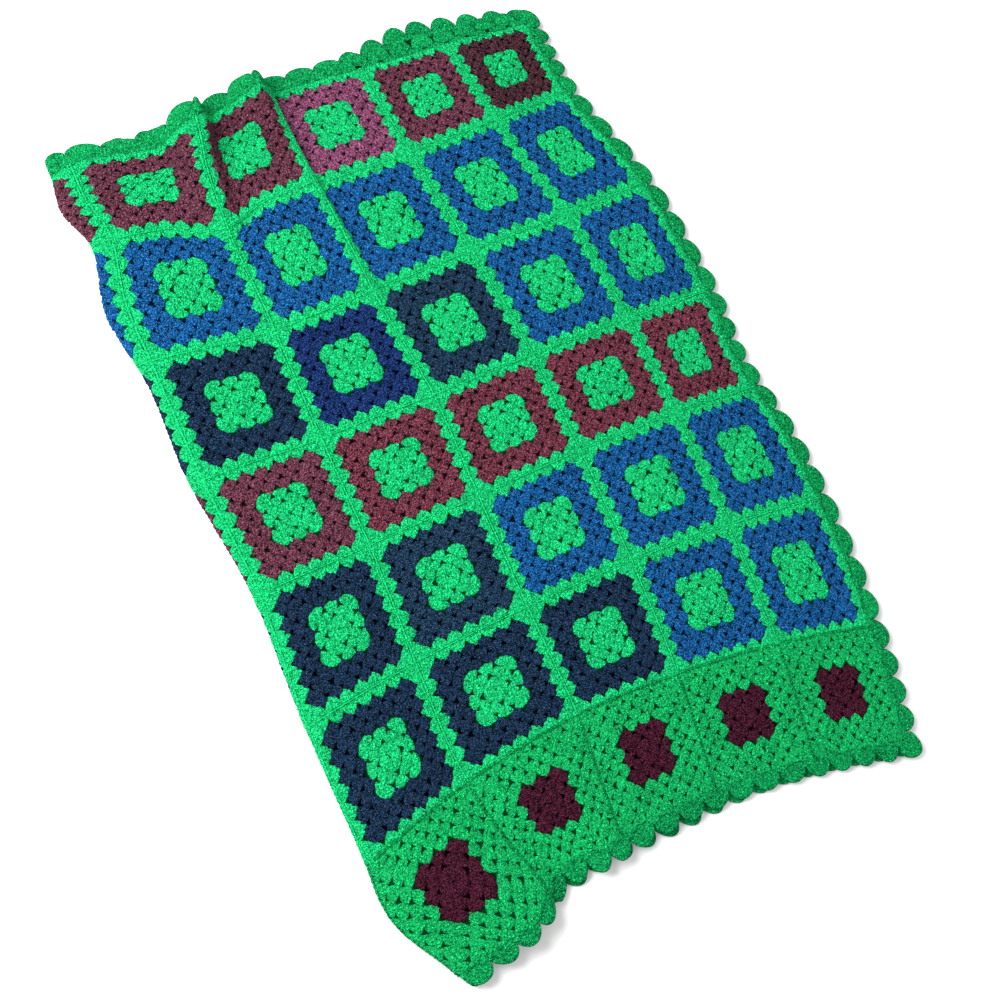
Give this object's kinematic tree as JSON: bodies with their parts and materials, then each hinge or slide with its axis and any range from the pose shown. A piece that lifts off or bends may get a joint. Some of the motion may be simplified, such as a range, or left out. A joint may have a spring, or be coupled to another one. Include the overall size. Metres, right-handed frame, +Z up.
{
  "type": "afghan blanket",
  "caption": "Crocheted afghan of joined granny squares with a scalloped shell border, folded in half lengthwise and lying flat.",
  "frame": {"origin": "centre of the outline of the folded blanket, on the floor it lies on", "axes": "+X from the fold to the two open edges, +Y along the fold to the end with the raised folds, +Z up"},
  "size_m": [0.8001, 1.1828, 0.055],
  "materials": {
    "green_crochet": "matt acrylic yarn, crocheted",
    "deep_green_crochet": "matt acrylic yarn, crocheted"
  },
  "bodies": {
    "root": {"patchwork_panel": "green_crochet", "shell_edging": "deep_green_crochet"}
  },
  "joints": []
}
